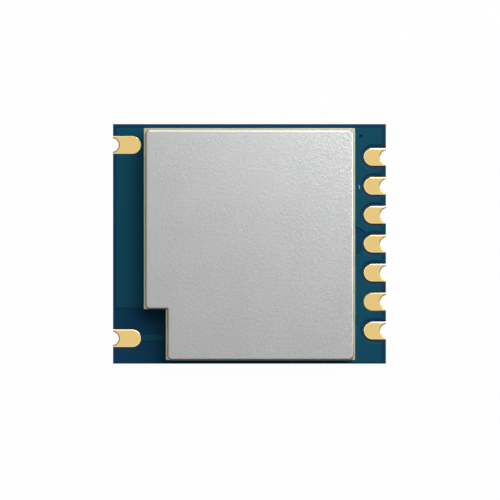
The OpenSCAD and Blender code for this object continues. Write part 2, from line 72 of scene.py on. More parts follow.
# Places of the circuit that no pad gives, in millimetres
CHIP_X, CHIP_Y, PADDLE_VIA = 0.8, 0.6, 0.7
CORNER_VIA_X, CORNER_VIA_Y = 1.75, 0.83
LINE_BEND_X, SIGNAL_VIA_X, SIGNAL_STEP = 5.6, 4.4, 0.8
LAST_VIA_X, LAST_VIA_Y = 3.4, -2.6
STITCH_IN, STITCH_STEP, STITCH_COUNT = 0.45, 2, 6
ANTENNA_VIA_IN = 0.1

# Rims and arcs
RIM_END = 1.15  # start of the flat top, by the width of the rim
LAND_SIDE, LAND_RIM = 0.3, 0.7  # upright side and rounded rim of a land, by its thickness
HOLE_STEPS, END_STEPS, TICK_STEPS = 20, 32, 24
SHADE_FROM, SHADE_OVER = 7, 6  # steps along a right-hand half hole where the painted shade on its edge starts and fills out
LEAST_BEND, LEAST_CORNER = 0.02 * MM, 0.01 * MM
RING_FOOT_R = (0.04 * MM, 0.01 * MM)  # rounded corners and hollow corner
RING_TOP_R = (0.06 * MM, 0.02 * MM)
TICK_HALF, TICK_RIM = 0.36, 0.4  # half width by the width of the CAD mark, and rim by that half width

# Mask over a drilled hole: reach and slope by the radius of the hole, and depth by the rise of the mask
PIT, PIT_DEPTH = (0.45, 0.3), 0.85
DIMPLE, DIMPLE_DEPTH = (0.6, 0.9), 0.15
LIP_W = 0.03 * MM
MASK_SHARP = 55

# Painted light on the floor as reflections show it, in millimetres along X or Y: where its glow turns bright,
# and where it is dim again
SHINE_EDGE, DIM_EDGE = (7.0, 9.5), (-10.0, -7.5)

# Lamps: radiance, height, width and distance in millimetres, direction and climb in degrees
LAMPS = {
    "key": ("large soft lamp, not seen in reflections", 4.2, 200, 200, 200, 33, 47),
    "near": ("small near lamp, seen only in reflections", 11.3, 26, 26, 68, 35, 60),
    "rim": ("far strip, seen only in reflections", 2.1, 150, 80, 200, 0, 33),
    "side": ("right-hand strip, seen only in reflections", 2.7, 140, 100, 200, 78, 20),
    "card": ("card overhead, seen only in reflections", 0.93, 300, 400, 100, 0, 75),
}


def pad_place(pad):
    """Middle of a pad along Y, its length from the board edge, its width and its side of the board."""
    lo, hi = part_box(pad)
    return (lo.y + hi.y) / 2, hi.x - lo.x, hi.y - lo.y, 1 if hi.x > 0 else -1


def length(name, description, mm, least=0):
    """A length property that is written in millimetres."""
    return FloatProperty(name=name, description=description, default=mm * MM, min=least, unit="LENGTH",
                         precision=6)


def angle(name, description, degrees):
    """An angle property that is written in degrees."""
    return FloatProperty(name=name, description=description, default=math.radians(degrees), subtype="ANGLE")


def level(name, description, value):
    """A brightness; 1 shows as white."""
    return FloatProperty(name=name, description=description, default=value, min=0)


def portion(name, description, value):
    """A share from 0 to 1."""
    return FloatProperty(name=name, description=description, default=value, min=0, max=1, subtype="FACTOR")


LAMP_PARTS = {
    "bright": (level, "Radiance of the %s"),
    "high": (length, "Height of the %s"),
    "wide": (length, "Width of the %s"),
    "far": (length, "Distance of the %s"),
    "turn": (angle, "Direction of the %s, from +Y towards +X"),
    "climb": (angle, "Angle of the %s above the horizon"),
}


def lamp_settings(name, what, *values):
    """The properties of one lamp, each named after it."""
    return {name + "_" + part: kind(name.capitalize() + " " + part, words % what, value)
            for (part, (kind, words)), value in zip(LAMP_PARTS.items(), values)}


def colour(name, description, red, green, blue):
    """A colour property that is written as it shows on a screen, from 0 to 255."""
    linear = []
    for part in (red / 255, green / 255, blue / 255):
        linear.append(part / 12.92 if part <= 0.04045 else ((part + 0.055) / 1.055) ** 2.4)
    return FloatVectorProperty(name=name, description=description, default=linear, size=3, min=0, max=1,
                               subtype="COLOR")


class BoardSizes(bpy.types.PropertyGroup):
    """Sizes of the pads, the copper pattern and the solder mask."""

    land_round: length("Land rounding", "Width of the rounded rim of a signal land", 0.072)
    ground_round: length("Ground rounding", "Width of the rounded rim of a ground land", 0.03)
    hole_round: length("Hole rounding", "Width of the rounded rim of a half hole", 0.06)
    hole_d: length("Hole", "Finished diameter of a half hole", 0.95)
    hole_out: length("Hole offset", "Distance of the hole centres outside the board edge", 0.07)
    plating: length("Plating", "Copper on the wall of a half hole", 0.03)
    land_t: length("Land", "Thickness of a plated land", 0.07)
    pour_gap: length("Pour gap", "Gap between the ground pour and signal copper", 0.24)
    pour_back: length("Pour set-back", "Set-back of the pour from the top and right edges", 0.35)
    pour_back_left: length("Left set-back", "Set-back of the pour from the left edge", 0.2)
    pour_back_bottom: length("Bottom set-back", "Set-back of the pour from the bottom edge", 0.08)
    pour_end: length("Pour end", "Height of the pour's end above the corner of the notch", 0.09)
    patch_r: length("Patch", "Radius of the open patch in the pour beside the shield", 1)
    patch_y: length("Patch place", "Place of the open patch along Y", 0.2)
    antenna_w: length("Antenna line", "Width of the antenna line", 0.36)
    antenna_gap: length("Antenna gap", "Gap between the end of the antenna line and the shield ring", 0.12)
    line_w: length("Line", "Width of every other line", 0.2)
    via_r: length("Via", "Radius of a drilled via", 0.1)
    via_land_r: length("Via land", "Radius of the copper round a signal via", 0.18)
    mask_gap: length("Mask gap", "Bare gap between a signal land and the mask", 0.075)
    mask_film: length("Mask film", "Mask on bare laminate", 0.03)
    mask_rise: length("Mask rise", "Top of the mask over copper, from the laminate", 0.085)
    mask_slope: length("Mask slope", "Width of the slope from a copper edge down to the film", 0.055)
    mask_lip: length("Mask lip", "Drop of the mask towards an opening", 0.012)
    top_pitch: length("Top grid", "Spacing of the points of the top mask", 0.035)
    bottom_pitch: length("Bottom grid", "Spacing of the points of the bottom mask", 0.065)


class ShieldSizes(bpy.types.PropertyGroup):
    """Sizes of the shield can and its ground ring."""

    notch_l: length("Notch length", "Length of the corner notch along X", 1.52)
    notch_w: length("Notch width", "Width of the corner notch along Y", 3.52)
    corner_r: length("Corner", "Outer radius of the upright corners", 0.3)
    hollow_r: length("Hollow corner", "Radius of the inner corner of the notch", 0.02)
    bend_r: length("Bend", "Outer radius of the bend round the top", 0.15)
    bend_rough: portion("Bend roughness", "Roughness of the burnished bends and walls", 0.2)
    sheet_t: length("Sheet", "Sheet thickness", 0.15)
    ring_out: length("Ring", "Ground ring showing beside and above the can", 0.13)
    ring_foot: length("Ring foot", "Ground ring showing below the can", 0)
    ring_in: length("Ring inside", "Ground ring inside the can, from its outer face", 0.6)
    ring_round: length("Ring rounding", "Width of the rounded rim of the ring", 0.02)
    arc_steps: IntProperty(name="Arc steps", description="Steps of each rounded corner", default=10, min=3)


class FinishColours(bpy.types.PropertyGroup):
    """Colours of the finishes."""

    mask_on_copper: colour("Mask on copper", "Solder mask over the copper pour", 16, 73, 93)
    mask_on_laminate: colour("Mask on laminate", "Solder mask over bare laminate", 14, 60, 89)
    # partly painted shade: darker mask over a drilled hole, for the hole under the film and the shade in its
    # dimple
    mask_via_shade: colour("Mask on a via", "Solder mask over a drilled hole", 6, 40, 54)
    gold: colour("Gold", "Gold finish of the lands", 225, 195, 125)
    # painted highlight: paler gold on the rims of the lands
    land_edge: colour("Land edge", "Paler gold on the rim of a land", 241, 222, 174)
    # painted shade: browner gold on the edges of the half holes
    hole_edge: colour("Hole edge", "Browner gold round a half hole", 118, 92, 60)
    ring: colour("Ring", "Dull gold of the shield ring", 181, 175, 142)
    sheet: colour("Sheet", "Blasted metal sheet of the shield can", 155, 156, 155)
    wall: colour("Wall", "Burnished bends and walls of the shield can", 188, 188, 186)
    laminate: colour("Laminate", "Sawn edge of the glass-epoxy core", 176, 166, 116)
    fibre: colour("Fibre", "Cut glass bundles in the sawn edge", 206, 200, 166)
    # painted shade: near-black faces of the core, which show in the bare gaps round the lands
    painted_gap_shade: colour("Resin", "Resin face of the core in the gaps of the mask", 16, 20, 16)
    copper: colour("Copper", "Bare copper", 196, 128, 96)
    solder: colour("Solder", "Solder joints", 190, 192, 194)
    tin: colour("Tin", "Tinned terminals and leads", 200, 201, 200)
    mould: colour("Mould", "Moulded body of the chip", 34, 34, 36)
    ink: colour("Ink", "Printed legend", 150, 190, 212)


class StageSizes(bpy.types.PropertyGroup):
    """Sizes and levels of the floor, the lamps and the camera."""

    floor_size: length("Floor", "Side of the floor", 4000)
    floor_glow: portion("Floor glow", "White of the floor that no shadow takes away", 0.98)
    # painted light: the floor's glow in reflections, bright beyond the right and far sides and dim at the
    # others
    floor_shine: level("Floor shine", "Floor beyond the right and far sides, as reflections show it", 1.2)
    floor_dim: level("Floor dim", "Floor at the left and near sides, as reflections show it", 0.2)
    sky: level("Sky", "Strength of the even light from all sides", 0.1)
    view_w: length("View", "Width of the view at the board", 34.535)
    view_x: length("View X", "Middle of the view along X", 0.037, least=-1)
    view_y: length("View Y", "Middle of the view along Y", -0.423, least=-1)
    lens: FloatProperty(name="Lens", description="Focal length in millimetres", default=1000, min=1)


for lamp_name, lamp_values in LAMPS.items():
    StageSizes.__annotations__.update(lamp_settings(lamp_name, *lamp_values))


class TransceiverSettings(bpy.types.PropertyGroup):
    """All settings of the module."""

    board: PointerProperty(type=BoardSizes)
    shield: PointerProperty(type=ShieldSizes)
    colours: PointerProperty(type=FinishColours)
    stage: PointerProperty(type=StageSizes)


def settings():
    return bpy.context.scene.transceiver


# Pieces and meshes


def finish_piece(mesh, name, nodes, slot, look=None, sharp=40):
    """Puts a mesh in the scene as a piece that stands for CAD nodes, with the look of its slot or another."""
    mesh.name = name
    piece = bpy.data.objects.new(name, mesh)
    bpy.context.scene.collection.objects.link(piece)
    mesh.materials.clear()
    mesh.materials.append(finish(look or slot))
    mesh.shade_smooth()
    mesh.set_sharp_from_angle(angle=math.radians(sharp))
    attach(piece, "root")
    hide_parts(*nodes)


def mesh_from(bm, name="piece"):
    """Mesh of a bmesh, which is freed."""
    mesh = bpy.data.meshes.new(name)
    bm.to_mesh(mesh)
    bm.free()
    return mesh


def loft(bm, rings, round_trip=False):
    """Walls between rings of points, from the first ring upwards; the rings' vertices are returned."""
    rows = [[bm.verts.new(point) for point in ring] for ring in rings]
    pairs = list(zip(rows, rows[1:]))
    if round_trip:
        pairs.append((rows[-1], rows[0]))
    for low, high in pairs:
        for k in range(len(low)):
            after = (k + 1) % len(low)
            bm.faces.new((low[k], low[after], high[after], high[k]))
    return rows


def close_ends(bm, rows):
    """Flat ends on a loft."""
    bm.faces.new(list(reversed(rows[0])))
    bm.faces.new(rows[-1])


def lift(outline, z):
    return [(x, y, z) for x, y in outline]


def rim(width, height, steps=5):
    """Steps of a rounded rim: how far in and how high, from the upright side to the flat top."""
    arc = [(width * (1 - math.cos(t)), height * math.sin(t))
           for t in (math.pi / 2 * k / steps for k in range(steps + 1))]
    return arc + [(width * RIM_END, height)]


# Plan of the shield


def shield_edges():
    """Plan edges of the can: left, right, bottom, top, and the corner of the notch."""
    shield = settings().shield
    return (CAN_LO.x, CAN_HI.x, CAN_LO.y, CAN_HI.y, CAN_LO.x + shield.notch_l, CAN_LO.y + shield.notch_w)


def shield_outline(side, foot, round_r, hollow_r):
    """L-shaped outline, with one margin at the foot edges and one at the others, counter-clockwise."""
    x0, x1, y0, y1, notch_x, notch_y = shield_edges()
    steps = settings().shield.arc_steps
    corners = [(notch_x - side, y0 - foot), (x1 + side, y0 - foot), (x1 + side, y1 + side),
               (x0 - side, y1 + side), (x0 - side, notch_y - foot), (notch_x - side, notch_y - foot)]
    points = []
    for k, corner in enumerate(corners):
        corner = Vector(corner)
        coming = (corner - Vector(corners[k - 1])).normalized()
        going = (Vector(corners[(k + 1) % len(corners)]) - corner).normalized()
        r = hollow_r if k == len(corners) - 1 else round_r
        centre = corner + r * (going - coming)
        for step in range(steps + 1):
            t = math.pi / 2 * step / steps
            points.append(tuple(centre + r * (math.sin(t) * coming - math.cos(t) * going)))
    return points


# Distances on the board's faces, negative inside a shape


def box_field(x, y, x0, x1, y0, y1):
    across = np.maximum(x0 - x, x - x1)
    along = np.maximum(y0 - y, y - y1)
    return np.hypot(np.maximum(across, 0), np.maximum(along, 0)) + np.minimum(np.maximum(across, along), 0)


def disc_field(x, y, middle, r):
    return np.hypot(x - middle[0], y - middle[1]) - r


def run_field(x, y, start, end, half_w):
    """Round-ended run between two points."""
    dx, dy = end[0] - start[0], end[1] - start[1]
    t = np.clip(((x - start[0]) * dx + (y - start[1]) * dy) / (dx * dx + dy * dy), 0, 1)
    return np.hypot(x - start[0] - t * dx, y - start[1] - t * dy) - half_w


def pad_field(x, y, pad, grow=0):
    """Land of a pad, run out past the board edge."""
    place, long, wide, side = pad_place(pad)
    edge = side * BOARD_HI.x
    start = (edge - side * (long - wide / 2), place)
    return run_field(x, y, start, (edge + side * MM, place), wide / 2 + grow)


def ring_field(x, y):
    """Outer outline of the shield's ground ring."""
    out, foot = settings().shield.ring_out, settings().shield.ring_foot
    x0, x1, y0, y1, notch_x, notch_y = shield_edges()
    wide = box_field(x, y, x0 - out, x1 + out, notch_y - foot, y1 + out)
    tall = box_field(x, y, notch_x - out, x1 + out, y0 - foot, y1 + out)
    return np.minimum(wide, tall)


def antenna_vias():
    """Vias of the antenna line outside and inside the ring."""
    board, shield = settings().board, settings().shield
    notch_x = shield_edges()[4]
    y = pad_place("left_antenna_pad")[0]
    outer_x = notch_x - shield.ring_out - board.antenna_gap - board.via_land_r
    inner_x = notch_x + shield.ring_in + board.pour_gap + board.via_land_r + ANTENNA_VIA_IN * MM
    return (outer_x, y), (inner_x, y)


def corner_via():
    """Closed via beside the upper right corner of the shield."""
    return BOARD_HI.x - CORNER_VIA_X * MM, BOARD_HI.y - CORNER_VIA_Y * MM


def pad_lines():
    """Lines on the underside, from the right-hand pads to their vias beside the chip."""
    lines = []
    for number in (1, 2, 3, 4, 5, 7):
        y, long, wide, _ = pad_place("right_pad_%d" % number)
        via = (SIGNAL_VIA_X * MM, (CHIP_Y + SIGNAL_STEP * (3 - number)) * MM)
        if number == 7:
            via = (LAST_VIA_X * MM, LAST_VIA_Y * MM)
        lines.append([(BOARD_HI.x - long + wide / 2, y), (LINE_BEND_X * MM, y), via])
    return lines


def stitching_vias():
    """Vias that join the pours inside the ring and under the chip."""
    x0, x1, y0, y1 = shield_edges()[:4]
    inside = settings().shield.ring_in + STITCH_IN * MM
    steps = [STITCH_STEP * MM * (k - (STITCH_COUNT - 1) / 2) for k in range(STITCH_COUNT)]
    places = [(x, y1 - inside) for x in steps] + [(x, y0 + inside) for x in steps[2:]]
    places += [(x0 + inside, y) for y in steps[1:]] + [(x1 - inside, y) for y in steps]
    places += [((CHIP_X + PADDLE_VIA * sx) * MM, (CHIP_Y + PADDLE_VIA * sy) * MM)
               for sx in (-1, 1) for sy in (-1, 1)]
    return places + [corner_via()]


def pour_field(x, y):
    """Area of the ground pour that both faces share."""
    board, shield = settings().board, settings().shield
    notch_x, notch_y = shield_edges()[4:]
    field = box_field(x, y, BOARD_LO.x + board.pour_back_left, BOARD_HI.x - board.pour_back,
                      BOARD_LO.y + board.pour_back_bottom, BOARD_HI.y - board.pour_back)
    corner = box_field(x, y, BOARD_LO.x - MM, notch_x - shield.ring_out, BOARD_LO.y - MM,
                       notch_y + board.pour_end)
    field = np.maximum(field, -corner)
    for pad in RIGHT_PADS + LEFT_PADS:
        if pad not in GROUND_PADS:
            field = np.maximum(field, -pad_field(x, y, pad, board.pour_gap))
    return field


def top_copper_field(x, y):
    """Copper of the top face outside the ring."""
    board = settings().board
    field = np.maximum(pour_field(x, y), -disc_field(x, y, (CAN_HI.x, board.patch_y), board.patch_r))
    outer, _ = antenna_vias()
    line = run_field(x, y, (BOARD_LO.x + MM, outer[1]), outer, board.antenna_w / 2)
    return np.minimum(field, np.minimum(line, disc_field(x, y, outer, board.via_land_r)))


def bottom_copper_field(x, y):
    """Copper of the underside."""
    board = settings().board
    outer, inner = antenna_vias()
    shapes = [run_field(x, y, outer, inner, board.antenna_w / 2)]
    vias = [outer, inner]
    for line in pad_lines():
        shapes += [run_field(x, y, start, end, board.line_w / 2) for start, end in zip(line, line[1:])]
        vias.append(line[-1])
    copper = np.minimum.reduce(shapes + [disc_field(x, y, via, board.via_land_r) for via in vias])
    return np.minimum(np.maximum(pour_field(x, y), board.pour_gap - copper), copper)


def pad_openings_field(x, y, copper):
    """Openings that the lands leave in a mask, which runs up to a land over its line."""
    over_line = -copper(x, y)
    field = np.full_like(x, 1.0)
    for pad in RIGHT_PADS + LEFT_PADS:
        field = np.minimum(field, pad_field(x, y, pad))
        if pad not in GROUND_PADS:
            field = np.minimum(field, np.maximum(pad_field(x, y, pad, settings().board.mask_gap), over_line))
    return field


# Solder mask


def over_vias(x, y, vias, reach, slope):
    """Share of a point that lies over drilled holes, from 1 within a reach to 0 past its slope."""
    r = settings().board.via_r
    share = np.zeros_like(x)
    for via in vias:
        near = np.clip(1 + (reach * r - np.hypot(x - via[0], y - via[1])) / (slope * r), 0, 1)
        share = np.maximum(share, near * near * (3 - 2 * near))
    return share


def mask_height(x, y, copper, openings):
    """Top of the mask above the laminate: raised over copper, lower towards an opening."""
    board = settings().board
    t = np.clip(copper(x, y) / board.mask_slope, 0, 1)
    height = board.mask_rise - (board.mask_rise - board.mask_film) * t * t * (3 - 2 * t)
    return height - board.mask_lip * np.exp(-(openings(x, y) / LIP_W) ** 2)


def paint_via_shade(bm, vias):
    """Marks how far each point of a mask lies over a drilled hole, for the darker colour there, which is
    partly the hole under the film and partly painted shade in its dimple.
    """
    layer = bm.verts.layers.float.new("over_via")
    places = np.array([v.co[:2] for v in bm.verts])
    for vert, share in zip(bm.verts, over_vias(places[:, 0], places[:, 1], vias, *DIMPLE)):
        vert[layer] = share


def grid_lines(stops):
    """Lines through every stop, with even steps of about the pitch that is named with each stop."""
    lines = [stops[0][0]]
    for (low, pitch), (high, _) in zip(stops, stops[1:]):
        steps = max(1, round((high - low) / pitch))
        lines.extend(np.linspace(low, high, steps + 1)[1:])
    return np.array(lines)


def film_mesh(xs, ys, height, openings, laminate_z, up):
    """Film on a face of the board: a grid of heights, cut along the openings and closed at the laminate."""
    grid_x, grid_y = np.meshgrid(xs, ys, indexing="ij")
    clear = openings(grid_x, grid_y)
    kept = clear > 0
    number = np.full(kept.shape, -1)
    number[kept] = np.arange(kept.sum())
    points = [np.column_stack([grid_x[kept], grid_y[kept]])]
    corners = [number[:-1, :-1], number[1:, :-1], number[1:, 1:], number[:-1, 1:]]
    count = sum((c >= 0).astype(int) for c in corners)
    whole = count == 4
    faces = np.column_stack([c[whole] for c in corners]).tolist()
    crossings = {}

    def crossing(a, b):
        """Point where the grid line between two corners meets the opening."""
        key = (a, b) if a < b else (b, a)
        if key not in crossings:
            share = clear[a] / (clear[a] - clear[b])
            x = grid_x[a] + share * (grid_x[b] - grid_x[a])
            y = grid_y[a] + share * (grid_y[b] - grid_y[a])
            crossings[key] = (len(points[0]) + len(crossings), x, y)
        return crossings[key][0]

    for i, j in zip(*np.nonzero((count > 0) & (count < 4))):
        walk = [(i, j), (i + 1, j), (i + 1, j + 1), (i, j + 1)]
        face = []
        for a, b in zip(walk, walk[1:] + walk[:1]):
            if kept[a]:
                face.append(int(number[a]))
            if kept[a] != kept[b]:
                face.append(crossing(a, b))
        if len(face) > 2:
            faces.append(face)
    if crossings:
        points.append(np.array([place[1:] for place in crossings.values()]))
    plan = np.vstack(points)
    side = 1 if up else -1
    z = laminate_z + side * height(plan[:, 0], plan[:, 1])
    mesh = bpy.data.meshes.new("film")
    mesh.from_pydata(np.column_stack([plan, z]).tolist(), [], faces)
    bm = bmesh.new()
    bm.from_mesh(mesh)
    bpy.data.meshes.remove(mesh)
    bmesh.ops.remove_doubles(bm, verts=bm.verts, dist=MERGE)
    border = [edge.verts[:] for edge in bm.edges if edge.is_boundary]
    foot = {}
    for vert in (vert for ends in border for vert in ends):
        if vert not in foot:
            foot[vert] = bm.verts.new((vert.co.x, vert.co.y, laminate_z))
    for start, end in border:
        bm.faces.new((start, end, foot[end], foot[start]))
    bmesh.ops.triangle_fill(bm, use_beauty=False, edges=[e for e in bm.edges if e.is_boundary])
    bmesh.ops.recalc_face_normals(bm, faces=bm.faces)
    return bm


def add_inner_mask(bm):
    """Adds the mask inside the ring, copied from the CAD node and merged."""
    mesh = frame["nodes"]["top_solder_mask"].data.copy()
    inner = bmesh.new()
    inner.from_mesh(mesh)
    bmesh.ops.remove_doubles(inner, verts=inner.verts, dist=MERGE)
    shield = settings().shield
    places = np.array([v.co[:2] for v in inner.verts])
    outer = ring_field(places[:, 0], places[:, 1]) > -(shield.ring_out + shield.ring_in) / 2
    bmesh.ops.delete(inner, geom=[v for v, out in zip(list(inner.verts), outer) if out], context="VERTS")
    inner.to_mesh(mesh)
    inner.free()
    bm.from_mesh(mesh)
    bpy.data.meshes.remove(mesh)


class TRANSCEIVER_OT_top_mask(bpy.types.Operator):
    """Build the top solder mask, raised over the copper and open at the pads and the shield ring"""

    bl_idname = "transceiver.top_mask"
    bl_label = "Top solder mask"

    def execute(self, context):
        board = settings().board

        def openings(x, y):
            return np.minimum(pad_openings_field(x, y, top_copper_field), ring_field(x, y))

        def height(x, y):
            pit = over_vias(x, y, [corner_via()], *PIT)
            return mask_height(x, y, top_copper_field, openings) - PIT_DEPTH * board.mask_rise * pit

        fine = board.top_pitch
        coarse, dense = 10 * fine, fine / 3
        under_can = shield_edges()[4] + fine
        via_x, via_y = corner_via()
        near = 1.2 * board.via_r
        xs = grid_lines([(BOARD_LO.x, fine), (under_can, coarse), (CAN_HI.x, fine), (via_x - near, dense),
                         (via_x + near, fine), (BOARD_HI.x, fine)])
        ys = grid_lines([(BOARD_LO.y, fine), (via_y - near, dense), (via_y + near, fine), (BOARD_HI.y, fine)])
        bm = film_mesh(xs, ys, height, openings, BOARD_HI.z, True)
        paint_via_shade(bm, [corner_via()])
        add_inner_mask(bm)
        finish_piece(mesh_from(bm), "top_mask", ["top_solder_mask"], "solder_mask", sharp=MASK_SHARP)
        return {"FINISHED"}


class TRANSCEIVER_OT_bottom_mask(bpy.types.Operator):
    """Build the bottom solder mask over the lines and the pour of the underside"""

    bl_idname = "transceiver.bottom_mask"
    bl_label = "Bottom solder mask"

    def execute(self, context):
        board = settings().board
        vias = stitching_vias() + [line[-1] for line in pad_lines()] + list(antenna_vias())

        def openings(x, y):
            return pad_openings_field(x, y, bottom_copper_field)

        def height(x, y):
            dimple = over_vias(x, y, vias, *DIMPLE)
            return mask_height(x, y, bottom_copper_field, openings) - DIMPLE_DEPTH * board.mask_rise * dimple

        pitch = board.bottom_pitch
        xs = grid_lines([(BOARD_LO.x, pitch), (BOARD_HI.x, pitch)])
        ys = grid_lines([(BOARD_LO.y, pitch), (BOARD_HI.y, pitch)])
        bm = film_mesh(xs, ys, height, openings, BOARD_LO.z, False)
        paint_via_shade(bm, vias)
        finish_piece(mesh_from(bm), "bottom_mask", ["bottom_solder_mask"], "solder_mask", sharp=MASK_SHARP)
        return {"FINISHED"}


# Castellated pads


def hole_arc(r, turn):
    """Arc of a half hole between its two ends at the board edge x = 0, clockwise where turn is 1."""
    out = settings().board.hole_out
    spread = math.acos(out / r)
    arc = []
    for k in range(HOLE_STEPS + 1):
        t = math.pi + turn * (spread - 2 * spread * k / HOLE_STEPS)
        arc.append((out + r * math.cos(t), r * math.sin(t)))
    return arc


def land_outline(long, wide, inset, hole_inset):
    """Outline of a land with its half hole; the board lies on the -X side of its edge."""
    half_w = wide / 2 - inset
    points = [(0, -half_w)] + hole_arc(settings().board.hole_d / 2 + hole_inset, 1) + [(0, half_w)]
    for k in range(END_STEPS + 1):
        t = math.pi / 2 + math.pi * k / END_STEPS
        points.append((wide / 2 - long + half_w * math.cos(t), half_w * math.sin(t)))
    return points


def barrel_outline():
    """Plated wall of a half hole, cut off at the board edge."""
    board = settings().board
    return hole_arc(board.hole_d / 2, 1) + hole_arc(board.hole_d / 2 + board.plating, -1)


def pad_mesh(long, wide, side, round_w):
    """One castellated pad at the board edge x = 0: land above, land below, plated half barrel between.

    The edge of the half hole gets painted shade, a browner gold, all round on the left side of the board and
    on the right side only along its upper half, which faces away from the light; the outer rim of the land
    gets a painted highlight, a paler gold.
    """
    board = settings().board
    bm = bmesh.new()
    hole_edge = bm.verts.layers.float.new("hole_edge")
    land_edge = bm.verts.layers.float.new("land_edge")
    land_rim = rim(1, LAND_RIM * board.land_t)
    steps = [(0, 0)] + [(inset, LAND_SIDE * board.land_t + rise) for inset, rise in land_rim]
    hole_end = HOLE_STEPS + 2
    for base_z, up in ((BOARD_HI.z, 1), (BOARD_LO.z, -1)):
        rings = [lift(land_outline(long, wide, round_w * inset, board.hole_round * inset), base_z + up * rise)
                 for inset, rise in steps]
        rows = loft(bm, rings[::up])
        close_ends(bm, rows)
        for row in rows[::up][:-1]:
            # painted shade: share of browner gold along the edge of the half hole
            for k, vert in enumerate(row[1:hole_end]):
                vert[hole_edge] = min(max((k - SHADE_FROM) / SHADE_OVER, 0), 1) if side > 0 else 1
            # painted highlight: the outer rim of the land takes the paler gold
            for vert in row[:1] + row[hole_end:]:
                vert[land_edge] = 1
    close_ends(bm, loft(bm, [lift(barrel_outline(), BOARD_LO.z), lift(barrel_outline(), BOARD_HI.z)]))
    bmesh.ops.recalc_face_normals(bm, faces=bm.faces)
    return mesh_from(bm)


def pad_row_tree():
    """Geometry nodes that set pads along a straight row, one of them a ground pad, turned to their side."""
    tree = bpy.data.node_groups.new("pad_row", "GeometryNodeTree")
    for name, kind in (("Signal pad", "Geometry"), ("Ground pad", "Object"), ("Ground place", "Int"),
                       ("Count", "Int"), ("Start", "Vector"), ("Step", "Vector"), ("Turn", "Vector"),
                       ("Finish", "Material")):
        tree.interface.new_socket(name, in_out="INPUT", socket_type="NodeSocket" + kind)
    tree.interface.new_socket("Row", in_out="OUTPUT", socket_type="NodeSocketGeometry")
    given = tree.nodes.new("NodeGroupInput").outputs
    line = node(tree, "GeometryNodeMeshLine", {"Count": given["Count"], "Start Location": given["Start"],
                                               "Offset": given["Step"]})
    ground_pad = node(tree, "GeometryNodeObjectInfo", {"Object": given["Ground pad"]}).outputs["Geometry"]
    number = node(tree, "GeometryNodeInputIndex").outputs[0]
    ground = node(tree, "FunctionNodeCompare", {2: number, 3: given["Ground place"]}, data_type="INT",
                  operation="EQUAL").outputs[0]
    signal = node(tree, "FunctionNodeBooleanMath", {0: ground}, operation="NOT").outputs[0]
    joined = tree.nodes.new("GeometryNodeJoinGeometry")
    for pad, chosen in ((given["Signal pad"], signal), (ground_pad, ground)):
        placed = node(tree, "GeometryNodeInstanceOnPoints", {"Points": line.outputs["Mesh"], "Instance": pad,
                                                             "Selection": chosen, "Rotation": given["Turn"]})
        tree.links.new(placed.outputs["Instances"], joined.inputs[0])
    real = node(tree, "GeometryNodeRealizeInstances", {"Geometry": joined.outputs[0]})
    row = node(tree, "GeometryNodeSetMaterial", {"Geometry": real.outputs[0], "Material": given["Finish"]})
    tree.links.new(row.outputs[0], tree.nodes.new("NodeGroupOutput").inputs["Row"])
    return tree


def run_tree(mesh, tree, values):
    """Plain mesh that a tree makes of a mesh, with its inputs set by name."""
    holder = bpy.data.objects.new("holder", mesh)
    bpy.context.scene.collection.objects.link(holder)
    modifier = holder.modifiers.new("nodes", "NODES")
    modifier.node_group = tree
    for socket in tree.interface.items_tree:
        if socket.in_out == "INPUT" and socket.name in values:
            modifier[socket.identifier] = values[socket.name]
    graph = bpy.context.evaluated_depsgraph_get()
    made = bpy.data.meshes.new_from_object(holder.evaluated_get(graph), depsgraph=graph)
    bpy.data.objects.remove(holder)
    return made


class TRANSCEIVER_OT_pads(bpy.types.Operator):
    """Build the rows of gold-plated castellated pads on both edges"""

    bl_idname = "transceiver.pads"
    bl_label = "Castellated pads"

    def execute(self, context):
        board = settings().board
        tree = pad_row_tree()
        for name, nodes in (("right_pads", RIGHT_PADS), ("left_pads", LEFT_PADS)):
            first, long, wide, side = pad_place(nodes[0])
            last = pad_place(nodes[-1])[0]
            ground = bpy.data.objects.new("ground", pad_mesh(long, wide, side, board.ground_round))
            values = {"Ground pad": ground, "Ground place": nodes.index(GROUND_PADS[side < 0]),
                      "Count": len(nodes), "Start": (side * BOARD_HI.x, first, 0),
                      "Step": (0, (last - first) / (len(nodes) - 1), 0),
                      "Turn": (0, 0, 0 if side > 0 else math.pi), "Finish": finish("gold_plate")}
            row = run_tree(pad_mesh(long, wide, side, board.land_round), tree, values)
            bpy.data.objects.remove(ground)
            finish_piece(row, name, nodes, "gold_plate")
        return {"FINISHED"}


# Shield and its ring


class TRANSCEIVER_OT_ring(bpy.types.Operator):
    """Build the gold-plated ground ring under the shield"""

    bl_idname = "transceiver.ring"
    bl_label = "Shield ring"

    def execute(self, context):
        board, shield = settings().board, settings().shield
        rings = [lift(shield_outline(shield.ring_out, shield.ring_foot, *RING_FOOT_R), BOARD_HI.z)]
        for inset, rise in rim(shield.ring_round, LAND_RIM * board.land_t):
            outline = shield_outline(shield.ring_out - inset, shield.ring_foot - inset, *RING_TOP_R)
            rings.append(lift(outline, BOARD_HI.z + LAND_SIDE * board.land_t + rise))
        inner = shield_outline(-shield.ring_in, -shield.ring_in, *RING_TOP_R)
        rings += [lift(inner, BOARD_HI.z + board.land_t), lift(inner, BOARD_HI.z)]
        bm = bmesh.new()
        loft(bm, rings, round_trip=True)
        finish_piece(mesh_from(bm), "shield_ring_land", ["shield_ring"], "gold_plate", look="ring")
        return {"FINISHED"}


def can_rings(inset, foot_z, top_z):
    """Rings of the can's outer or inner skin, from the foot round the bend to the flat top."""
    shield = settings().shield
    bend = max(shield.bend_r - inset, LEAST_BEND)
    rings = []
    for step, rise in [(0, foot_z - top_z + bend)] + rim(bend, bend, shield.arc_steps):
        back = inset + step
        corner_r = max(shield.corner_r - back, LEAST_CORNER)
        outline = shield_outline(-back, -back, corner_r, shield.hollow_r + back)
        rings.append(lift(outline, top_z - bend + rise))
    return rings


